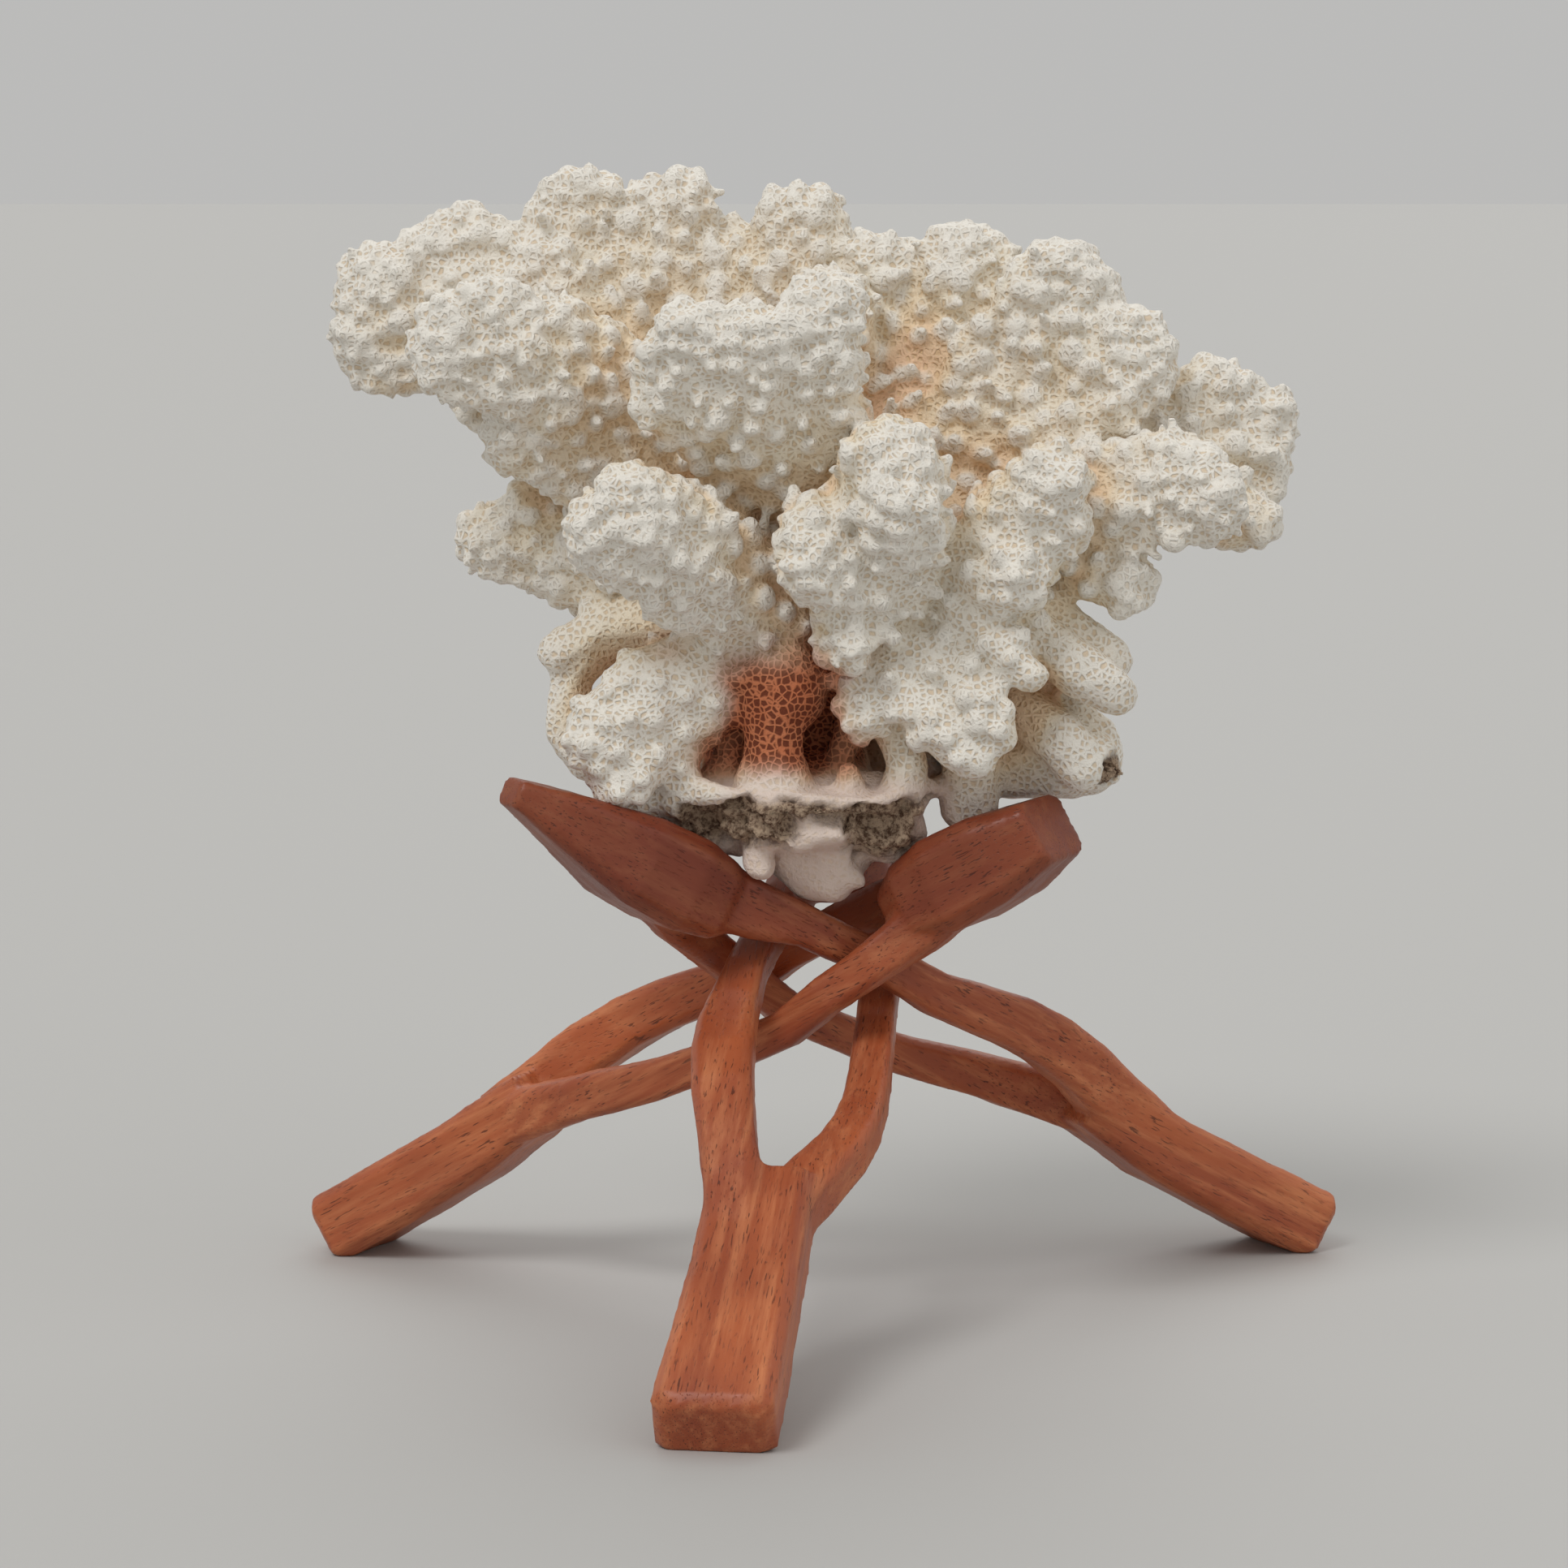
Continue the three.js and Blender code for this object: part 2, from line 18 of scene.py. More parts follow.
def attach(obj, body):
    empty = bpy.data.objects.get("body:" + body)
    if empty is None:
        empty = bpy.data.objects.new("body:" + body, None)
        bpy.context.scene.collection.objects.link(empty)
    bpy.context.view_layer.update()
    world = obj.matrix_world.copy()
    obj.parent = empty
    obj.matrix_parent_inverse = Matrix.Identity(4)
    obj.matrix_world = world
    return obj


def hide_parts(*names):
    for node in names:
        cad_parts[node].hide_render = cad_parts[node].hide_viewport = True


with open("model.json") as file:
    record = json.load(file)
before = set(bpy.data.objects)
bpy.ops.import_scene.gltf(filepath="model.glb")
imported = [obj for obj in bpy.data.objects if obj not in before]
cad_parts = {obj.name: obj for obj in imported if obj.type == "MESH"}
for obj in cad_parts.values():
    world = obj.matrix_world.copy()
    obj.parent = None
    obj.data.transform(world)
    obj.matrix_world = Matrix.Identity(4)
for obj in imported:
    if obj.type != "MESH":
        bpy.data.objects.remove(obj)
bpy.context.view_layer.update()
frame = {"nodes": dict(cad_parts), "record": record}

MM = 0.001

# The stand
LEG_AZIMUTHS = {"leg_front": -99, "leg_left": 153, "leg_right": 27}  # where each foot stands, degrees
GRAIN_SLOPE = 29  # rise of the wood's grain from the foot to the blade, degrees
LEG_VOXEL = 0.7 * MM
LEG_TRIANGLES = 45_000

# The coral's skin
CORE_VOXEL = 0.8 * MM  # the smooth body under the knobs
SKIN_VOXEL = 0.5 * MM  # the finished skin
SKIN_TRIANGLES = 790_000
PROBE_VOXEL = 2.5 * MM  # the coarse skin that openness is measured on
CORE_GROWTH = 0.45 * MM  # closes the gaps between neighbouring solids

# Knobs
KNOB_SPACING_RIM = 2.5 * MM
KNOB_SPACING_FACE = 4.3 * MM
KNOB_TRIES = 80_000
KNOB_HALF_WIDTH = 1.65 * MM
KNOB_RISE = 3.5  # how far a knob stands out of a face, in millimetres
KNOB_RISE_LOST = 1.7  # how much less it stands out of a rim
KNOB_SINK = 3.4 * MM  # how deep it reaches into the body
CALM_BRANCHES = {  # how smooth a branch is: 1 has no knobs
    "coral_base": 1.0,
    "coral_branch_left_loop": 0.95,
    "coral_branch_right_base": 1.0,
    "coral_branch_right_fingers": 0.9,
    "coral_branch_lower_left": 0.6,
    "coral_branch_lower_right": 0.3,
    "coral_trunk": 0.6,
}

# The base under the branches: chains of [x, y, z, radius] in millimetres from the point under the hub
STEM = [
    [-7, -17, 94, 7.5],
    [-7, -17, 98, 5.6],
    [-7, -17, 103, 5.0],
    [-7, -16.5, 107, 5.8],
    [-6, -14, 112, 8.5],
]
COLUMNS = [
    [[-23, -15, 92, 4.6], [-23.5, -16, 98, 3.4], [-23, -15, 103, 3.7], [-20, -12, 110, 5.5]],
    [[15, -16, 92, 4.6], [16, -17, 99, 3.6], [14, -15.5, 105, 3.9], [11, -12, 112, 6]],
    [[27, -10, 91, 5], [27, -11.5, 97, 4.8], [25.5, -10, 103, 4.2], [24, -9, 110, 5]],
    [[-16, 10, 91, 6], [-14, 10, 102, 4.6], [-12, 10, 112, 8]],
    [[14, 12, 91, 6], [13, 11, 102, 4.6], [12, 10, 112, 8]],
]
INNER_WALLS = [
    [[0, 3, 92, 11], [0, 4, 103, 8], [0, 4, 114, 13]],
    [[-20, -9, 92, 3.4], [-15, -10, 98, 2.8], [-13, -8, 105, 3.4]],
    [[2, -8, 93, 3.4], [5, -9, 101, 2.8], [8, -8, 109, 4]],
    [[6, -16, 92, 3.6], [6, -17, 97.6, 1.8]],
]
UNDERSIDE = [
    [[0, -4, 88, 13], [2, -8, 81.5, 8], [3.7, -11, 77, 3.8]],
    [[2, -9, 82, 6], [7.2, -13, 77.6, 2.2]],
    [[-7, -10, 90, 4], [-10, -15.5, 85, 3.1], [-10, -17, 81.5, 2.7]],
    [[10, -9, 89, 8], [14, -14, 86, 5.6]],
    [[-14, -8, 89, 8], [-20, -12, 88, 5]],
]
PLATE = [(-2, -3, 87.6, 23, 20.5, 5.2), (-2, -3, 91.5, 25, 22, 4.2)]  # x, y, z and half sizes
LIP = (-2, -3, 93.6, 24.5, 21.6, 1.9)  # x, y, z of the rim's middle, its half sizes and its thickness
FINGERS = [  # given, like the chains above; they are not held clear of the stand's blades
    [[15, -20, 113, 5], [22, -24, 106, 4.8], [27.5, -25.5, 101, 4.1]],
    [[22, -20, 118, 5], [29, -25, 110, 4.4], [31.5, -25.5, 105, 3.6]],
    [[26, -20, 125, 5], [33, -25, 119, 4.2], [37, -25.5, 115.5, 3.5]],
    [[38, -14, 121, 5.5], [45, -17.5, 115, 5.4], [52, -17, 111, 4.2]],
    [[36, -10, 108, 5], [43, -15, 103, 5], [46, -15, 98, 4.6]],
    [[-24, -16, 104, 4.4], [-31, -21, 98.5, 4.9], [-34.5, -21, 95.5, 4.5]],
    [[-20, -10, 91, 5], [-31, -15, 91.5, 3.4]],
    [[49, -12, 100, 4], [52, -13.5, 97.5, 3]],
]
CHAIN_STEP = 0.3  # balls in a chain are this share of their radius apart

# Closing the cut pieces
CAP_DEPTHS = [0.3 * MM, 1 * MM, 2 * MM, 4 * MM, 7 * MM]  # how far under the skin a fan's middle may lie
CAP_TOUCH = 0.3 * MM  # a line that reaches this close to the loop counts as having reached it

# Camera, as seen from the front
CAMERA_DISTANCE = 950 * MM
CAMERA_ELEVATION = 8
CAMERA_AIM = (-5.3 * MM, 0, 93 * MM)  # from the point on the floor under the hub
CAMERA_LENS = 123.9
CAMERA_SENSOR = 36


# ---- arrays and meshes ----

def points_of(mesh):
    flat = np.empty(len(mesh.vertices) * 3)
    mesh.vertices.foreach_get("co", flat)
    return flat.reshape(-1, 3)


def triangles_of(mesh):
    mesh.calc_loop_triangles()
    flat = np.empty(len(mesh.loop_triangles) * 3, np.int32)
    mesh.loop_triangles.foreach_get("vertices", flat)
    return flat.reshape(-1, 3)


def mesh_from(name, points, triangles):
    mesh = bpy.data.meshes.new(name)
    mesh.vertices.add(len(points))
    mesh.vertices.foreach_set("co", np.asarray(points, np.float32).ravel())
    mesh.loops.add(triangles.size)
    mesh.loops.foreach_set("vertex_index", np.asarray(triangles, np.int32).ravel())
    mesh.polygons.add(len(triangles))
    mesh.polygons.foreach_set("loop_start", np.arange(0, triangles.size, 3, dtype=np.int32))
    mesh.update(calc_edges=True)
    return mesh


def per_vertex(triangles, values, count):
    """Sums each triangle's row of values onto its three vertices."""
    corners = triangles.ravel()
    return np.stack([np.bincount(corners, np.repeat(column, 3), count) for column in values.T], 1)


def normals_of(points, triangles):
    a, b, c = (points[triangles[:, k]] for k in range(3))
    total = per_vertex(triangles, np.cross(b - a, c - a), len(points))
    return total / np.maximum(np.linalg.norm(total, axis=1, keepdims=True), 1e-20)


def neighbour_mean(values, triangles):
    counts = np.maximum(np.bincount(triangles.ravel(), minlength=len(values)), 1)[:, None]
    total = per_vertex(triangles, values[triangles].sum(1), len(values))
    return (total / counts - values) / 2


def smoothed(values, triangles, rounds, share=0.5):
    for _ in range(rounds):
        values = values + share * (neighbour_mean(values, triangles) - values)
    return values


def relaxed(points, triangles, rounds):
    """Smooth without shrinking."""
    for _ in range(rounds):
        points = smoothed(points, triangles, 1, 0.5)
        points = smoothed(points, triangles, 1, -0.52)
    return points


def modified(points, triangles, kind, **settings):
    """A mesh after one modifier, as points and triangles."""
    draft = bpy.data.objects.new("draft", mesh_from("draft", points, triangles))
    bpy.context.scene.collection.objects.link(draft)
    modifier = draft.modifiers.new("modifier", kind)
    for name, value in settings.items():
        setattr(modifier, name, value)
    mesh = bpy.data.meshes.new_from_object(draft.evaluated_get(bpy.context.evaluated_depsgraph_get()))
    points, triangles = points_of(mesh), triangles_of(mesh)
    bpy.data.meshes.remove(mesh)
    bpy.data.objects.remove(draft)
    return points, triangles


def reskinned(points, triangles, voxel):
    """One closed skin round a set of closed shapes."""
    return largest_body(*modified(points, triangles, "REMESH", mode="VOXEL", voxel_size=voxel))


def thinned(points, triangles, most):
    """The same skin with at most that many triangles."""
    if len(triangles) <= most:
        return points, triangles
    return modified(points, triangles, "DECIMATE", ratio=most / len(triangles))


def islands(triangles, count):
    """A number for each vertex, the same for all vertices that are joined."""
    mark = np.arange(count)
    while True:
        lowest = mark[triangles].min(1)
        joined = mark.copy()
        for k in range(3):
            np.minimum.at(joined, triangles[:, k], lowest)
        joined = joined[joined]
        if np.array_equal(joined, mark):
            return mark
        mark = joined


def compact(points, triangles):
    """Drops the vertices that no triangle uses."""
    used = np.unique(triangles)
    place = np.full(len(points), -1)
    place[used] = np.arange(len(used))
    return points[used], place[triangles], used


def largest_body(points, triangles):
    mark = islands(triangles, len(points))
    names, sizes = np.unique(mark, return_counts=True)
    keep = mark[triangles[:, 0]] == names[sizes.argmax()]
    points, triangles, _ = compact(points, triangles[keep])
    return points, triangles


def lumps(points, size, seed):
    """Smooth noise from -1 to 1, its lumps about one size across."""
    lattice = np.random.default_rng(seed).uniform(-1, 1, (32, 32, 32))
    scaled = points / size
    cell = np.floor(scaled).astype(int)
    t = scaled - cell
    t = t * t * (3 - 2 * t)
    value = np.zeros(len(points))
    for corner in product((0, 1), repeat=3):
        weight = np.prod(np.where(corner, t, 1 - t), axis=1)
        i, j, k = ((cell + corner) % 32).T
        value += weight * lattice[i, j, k]
    return value


def smoothstep(low, high, values):
    """From 0 at low to 1 at high; low may be the larger."""
    t = np.clip((values - low) / (high - low), 0, 1)
    return t * t * (3 - 2 * t)


def unit(vectors):
    return vectors / np.maximum(np.linalg.norm(vectors, axis=-1, keepdims=True), 1e-12)


def nearest(tree_points, points):
    """For each point, the number of the nearest tree point."""
    tree = KDTree(len(tree_points))
    for i, p in enumerate(tree_points):
        tree.insert(p, i)
    tree.balance()
    return np.fromiter((tree.find(p)[1] for p in points), int, len(points))


# ---- the frame ----

def hub_place():
    """The point on the floor under the hub, where the three legs' lines cross."""
    mounts = {m["name"]: m["pos_m"] for m in frame["record"]["mounts"]}
    across, sides = [], []
    for leg, azimuth in LEG_AZIMUTHS.items():
        side = np.array([-math.sin(math.radians(azimuth)), math.cos(math.radians(azimuth))])
        across.append(side)
        sides.append(side @ mounts[leg.replace("leg", "foot")][:2])
    x, y = np.linalg.lstsq(np.array(across), np.array(sides), rcond=None)[0]
    return np.array([x, y, 0])


HUB = hub_place()
CORAL_NODES = sorted(n for n in frame["nodes"] if n.startswith("coral"))


# ---- the coral's body ----

def chain_balls(stations):
    """Balls close together along the straight lines between stations."""
    balls = []
    for start, end in zip(np.array(stations[:-1], float), np.array(stations[1:], float)):
        length = np.linalg.norm((end - start)[:3])
        count = max(2, math.ceil(length / (CHAIN_STEP * min(start[3], end[3]))))
        balls.append(start + (end - start) * np.linspace(0, 1, count)[:, None])
    return np.concatenate(balls)


def base_shapes():
    """The broken plate at the bottom, the stem and columns on it, and the lumps below it."""
    x, y, z, wide, deep, thick = LIP
    turns = np.linspace(0, 2 * math.pi, 90, endpoint=False)
    wave = 1 + 0.02 * np.sin(turns * 5) + 0.015 * np.sin(turns * 11 + 1)
    rim = np.column_stack([x + wide * wave * np.cos(turns), y + deep * wave * np.sin(turns)])
    rim = np.column_stack([rim, z + 0.7 * np.sin(turns * 3 + 2), thick * (1 + 0.2 * np.sin(turns * 7))])
    chains = [STEM, *COLUMNS, *INNER_WALLS, *UNDERSIDE, *FINGERS]
    balls = np.concatenate([rim, *[chain_balls(chain) for chain in chains]])
    plates = np.array(PLATE)
    centres = np.concatenate([balls[:, :3], plates[:, :3]]) * MM + HUB
    radii = np.concatenate([np.repeat(balls[:, 3:], 3, axis=1), plates[:, 3:]]) * MM
    return ellipsoids(centres, np.tile([[0, 0, 1.0]], (len(centres), 1)), radii)


def joined_core():
    """The coral's solids grown until they meet, in one smooth skin."""
    points, triangles = base_shapes()
    points, triangles, count = [points], [triangles], len(points)
    for name in CORAL_NODES:
        if name == "coral_base":
            continue
        mesh = frame["nodes"][name].data
        own, faces = points_of(mesh), triangles_of(mesh)
        merged, index = np.unique(np.round(own, 7), axis=0, return_inverse=True)
        faces = index.reshape(-1)[faces]
        points.append(merged + normals_of(merged, faces) * CORE_GROWTH)
        triangles.append(faces + count)
        count += len(merged)
    points, triangles = reskinned(np.concatenate(points), np.concatenate(triangles), CORE_VOXEL)
    points = relaxed(points, triangles, 8)
    normals = normals_of(points, triangles)
    above = smoothstep(100, 120, points[:, 2] / MM)
    below = smoothstep(92, 88, points[:, 2] / MM)
    swell = (0.4 + 0.8 * above) * lumps(points, 10 * MM, 3)
    swell = swell + (0.25 + 0.65 * above + 0.6 * below) * lumps(points, 5 * MM, 4)
    swell = swell + 0.5 * below * lumps(points, 2.6 * MM, 5)
    return points + normals * swell[:, None] * MM, triangles


def openness(points, normals, tree, rays, reach, rng):
    """The share of a hemisphere of rays from each point that meet nothing within reach."""
    directions = unit(rng.normal(size=(rays, 3)))
    score = np.zeros(len(points))
    for i, (p, n) in enumerate(zip(points, normals)):
        start = Vector(p + n * 0.6 * MM)
        facing = directions @ n
        total = hit = 0.0
        for direction, cosine in zip(directions, facing):
            weight = abs(cosine)
            total += weight
            if tree.ray_cast(start, direction if cosine > 0 else -direction, reach)[0] is not None:
                hit += weight
        score[i] = 1 - hit / total
    return score


def measured_core(points, triangles, rng):
    """Openness, bulge and nearest solid for each vertex of the core, from a coarse copy."""
    coarse, faces = reskinned(points, triangles, PROBE_VOXEL)
    normals = normals_of(coarse, faces)
    tree = BVHTree.FromPolygons(coarse.tolist(), faces.tolist())
    open_share = openness(coarse, normals, tree, 20, 60 * MM, rng)
    open_share = smoothed(open_share[:, None], faces, 2)[:, 0]
    level = smoothed(coarse, faces, 12)
    bulge = ((coarse - level) * normals).sum(1) / MM
    bulge = smoothed(bulge[:, None], faces, 2)[:, 0]
    node_trees = [
        BVHTree.FromPolygons(points_of(m).tolist(), triangles_of(m).tolist())
        for m in (frame["nodes"][n].data for n in CORAL_NODES)
    ]
    near = np.array([[t.find_nearest(p)[3] for t in node_trees] for p in coarse])
    label = np.argmin(smoothed(near, faces, 3), 1)
    calm = np.array([CALM_BRANCHES.get(name, 0.0) for name in CORAL_NODES])[label]
    calm = np.maximum(calm, 0.75 * (1 - smoothstep(0.12, 0.3, open_share)))
    return coarse, open_share, bulge, smoothed(calm[:, None], faces, 3)[:, 0], label


# ---- knobs ----

def scattered(points, triangles, spacing, tries, rng):
    """Triangle numbers and places on the skin, each at least its own spacing from those before it."""
    a, b, c = (points[triangles[:, k]] for k in range(3))
    area = np.linalg.norm(np.cross(b - a, c - a), axis=1)
    picks = rng.choice(len(triangles), tries, p=area / area.sum())
    u, v = rng.random((2, tries))
    over = u + v > 1
    u[over], v[over] = 1 - u[over], 1 - v[over]
    places = a[picks] + u[:, None] * (b - a)[picks] + v[:, None] * (c - a)[picks]
    room = spacing[triangles[picks]].mean(1)
    kept = np.empty(0, int)
    for start in range(0, tries, 2000):
        batch = np.arange(start, min(start + 2000, tries))
        batch = batch[np.isfinite(room[batch])]
        if len(kept):
            tree = KDTree(len(kept))
            for i in kept:
                tree.insert(places[i], i)
            tree.balance()
            batch = batch[[tree.find(places[i])[2] > room[i] for i in batch]]
        chosen = []
        for i in batch:
            if not chosen or np.linalg.norm(places[chosen] - places[i], axis=1).min() > room[i]:
                chosen.append(i)
        kept = np.concatenate([kept, np.array(chosen, int)])
    return picks[kept], places[kept]


def ball():
    """A ball of 80 triangles, radius 1."""
    mesh = bpy.data.meshes.new("ball")
    work = bmesh.new()
    bmesh.ops.create_icosphere(work, subdivisions=2, radius=1)
    work.to_mesh(mesh)
    work.free()
    points, triangles = points_of(mesh), triangles_of(mesh)
    bpy.data.meshes.remove(mesh)
    return points, triangles


def ellipsoids(centres, axes, radii):
    """Joined ellipsoids. axes: long directions. radii: half width, half depth and half length."""
    shape, faces = ball()
    side = unit(np.cross(axes, np.where(np.abs(axes[:, 2:]) < 0.9, [[0, 0, 1]], [[1, 0, 0]])))
    other = np.cross(axes, side)
    frames = np.stack([side, other, axes], 1)
    points = np.einsum("vk,nk,nkj->nvj", shape, radii, frames) + centres[:, None]
    triangles = faces[None] + (np.arange(len(centres)) * len(shape))[:, None, None]
    return points.reshape(-1, 3), triangles.reshape(-1, 3)


def knobs(core, core_faces, normals, open_share, bulge, calm, rng):
    """Short blunt knobs: crowded and low on rims, longer and apart on faces, none where calm is near 1."""
    crowd = smoothstep(-0.1, 1.2, bulge) * smoothstep(0.25, 0.6, open_share)
    spacing = KNOB_SPACING_FACE + (KNOB_SPACING_RIM - KNOB_SPACING_FACE) * crowd
    spacing = np.where(calm > 0.8, np.inf, spacing * (1 + 0.7 * calm))
    picks, places = scattered(core, core_faces, spacing, KNOB_TRIES, rng)
    corner = core_faces[picks, 0]
    out = unit(normals[corner])
    count = len(places)
    packed = crowd[corner]
    away = unit((places - HUB) * [1, 1, 0])
    lean = (0.4 * (1 - packed))[:, None] * np.array([0, 0, 1.0]) + (0.5 * (1 - packed))[:, None] * away
    lean = unit(out + lean + 0.22 * rng.normal(size=(count, 3)))
    width = KNOB_HALF_WIDTH * rng.uniform(0.7, 1.2, count) * (1 - 0.25 * calm[corner]) * (1 - 0.2 * packed)
    rise = (KNOB_RISE - KNOB_RISE_LOST * packed) * rng.uniform(0.55, 1.35, count)
    proud = rise * (1 - 0.65 * calm[corner]) * MM
    half = 0.5 * (proud + KNOB_SINK)
    centres = places + lean * (proud - half)[:, None]
    radii = np.stack([width, width * rng.uniform(0.75, 1.0, count), half], 1)
    heads = places + lean * (proud - 0.95 * width)[:, None] + rng.normal(size=(count, 3)) * 0.35 * MM
    head_radii = np.stack([width * 0.8, width * rng.uniform(0.6, 0.85, count), width * 0.8], 1)
    roots = np.stack([width * 1.5, width * 1.5, width * 1.25], 1)
    return ellipsoids(
        np.concatenate([centres, heads, places]),
        np.concatenate([lean, lean, out]),
        np.concatenate([radii, head_radii, roots]),
    )


# ---- pieces ----

def closed(points, triangles, skin):
    """Closes an opening of a cut skin with a fan, if the fan stays under the skin. Others stay open."""
    edges = np.concatenate([triangles[:, [0, 1]], triangles[:, [1, 2]], triangles[:, [2, 0]]])
    forward = edges[:, 0].astype(np.int64) * len(points) + edges[:, 1]
    backward = edges[:, 1].astype(np.int64) * len(points) + edges[:, 0]
    rim = edges[~np.isin(forward, backward)]
    if not len(rim):
        return points, triangles
    mark = islands(rim[:, [0, 1, 1]], len(points))[rim[:, 0]]
    normals = normals_of(points, triangles)
    middles, caps = [], []
    for group in np.unique(mark):
        own = rim[mark == group]
        loop = np.unique(own)
        for depth in CAP_DEPTHS:
            middle = points[loop].mean(0) - unit(normals[loop].mean(0)) * depth
            if stays_inside(points[loop], middle, skin):
                tip = np.full(len(own), len(points) + len(middles))
                caps.append(np.column_stack([own[:, 1], own[:, 0], tip]))
                middles.append(middle)
                break
    if not middles:
        return points, triangles
    return np.concatenate([points, middles]), np.concatenate([triangles, *caps])


def stays_inside(loop, middle, skin):
    """True if the straight lines from middle to the loop meet the skin only at the loop."""
    place, normal, _, _ = skin.find_nearest(middle)
    if (Vector(middle) - place).dot(normal) > 0:
        return False
    for point in loop:
        line = Vector(point - middle)
        hit = skin.ray_cast(middle, line.normalized(), line.length * 0.97)
        if hit[0] is not None and hit[3] < line.length - CAP_TOUCH:
            return False
    return True


def add_field(mesh, name, values):
    field = mesh.attributes.new(name, "FLOAT", "POINT")
    field.data.foreach_set("value", np.asarray(values, np.float32))


def add_piece(name, points, triangles, normals, fields, material, slot, nodes):
    mesh = mesh_from(name, points, triangles)
    for field, values in fields.items():
        add_field(mesh, field, values)
    mesh.polygons.foreach_set("use_smooth", np.ones(len(triangles), bool))
    mesh.normals_split_custom_set_from_vertices(normals.tolist())
    mesh.materials.append(material)
    piece = bpy.data.objects.new(name, mesh)
    bpy.context.scene.collection.objects.link(piece)
    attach(piece, "root")
    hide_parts(*nodes)
    return piece


# ---- materials ----

class Nodes:
    """A material's node tree, built by short calls."""

    def __init__(self, name):
        self.material = bpy.data.materials.new(name)
        self.material.use_nodes = True
        self.tree = self.material.node_tree
        self.shader = self.tree.nodes["Principled BSDF"]

    def add(self, kind, settings=None, **inputs):
        node = self.tree.nodes.new(kind)
        for key, value in (settings or {}).items():
            setattr(node, key, value)
        for key, value in inputs.items():
            self.put(node.inputs[key.replace("_", " ")], value)
        return node

    def put(self, socket, value):
        if isinstance(value, bpy.types.NodeSocket):
            self.tree.links.new(value, socket)
        elif isinstance(value, bpy.types.Node):
            self.tree.links.new(value.outputs[0], socket)
        else:
            socket.default_value = value

    def field(self, name, output="Fac"):
        return self.add("ShaderNodeAttribute", {"attribute_name": name}).outputs[output]

    def math(self, operation, a, b=0.0, c=0.0, clamp=False):
        node = self.tree.nodes.new("ShaderNodeMath")
        node.operation = operation
        node.use_clamp = clamp
        for socket, value in zip(node.inputs, (a, b, c)):
            self.put(socket, value)
        return node.outputs[0]

    def ramp(self, value, low, high, to_low=0.0, to_high=1.0):
        node = self.add("ShaderNodeMapRange", {"interpolation_type": "SMOOTHSTEP"}, Value=value)
        for key, number in (("From Min", low), ("From Max", high), ("To Min", to_low), ("To Max", to_high)):
            node.inputs[key].default_value = number
        return node.outputs[0]

    def mix(self, share, a, b):
        node = self.tree.nodes.new("ShaderNodeMix")
        node.data_type = "RGBA"
        self.put(node.inputs[0], share)
        self.put(node.inputs[6], a)
        self.put(node.inputs[7], b)
        return node.outputs[2]

    def noise(self, vector, scale, detail=2.0, roughness=0.5):
        node = self.add("ShaderNodeTexNoise", Vector=vector, Scale=scale, Detail=detail, Roughness=roughness)
        return node.outputs[0]


def colour(red, green, blue):
    """An sRGB colour, 0 to 255, as Blender's linear values."""
    shares = [c / 255 for c in (red, green, blue)]
    return (*[s / 12.92 if s <= 0.04045 else ((s + 0.055) / 1.055) ** 2.4 for s in shares], 1)


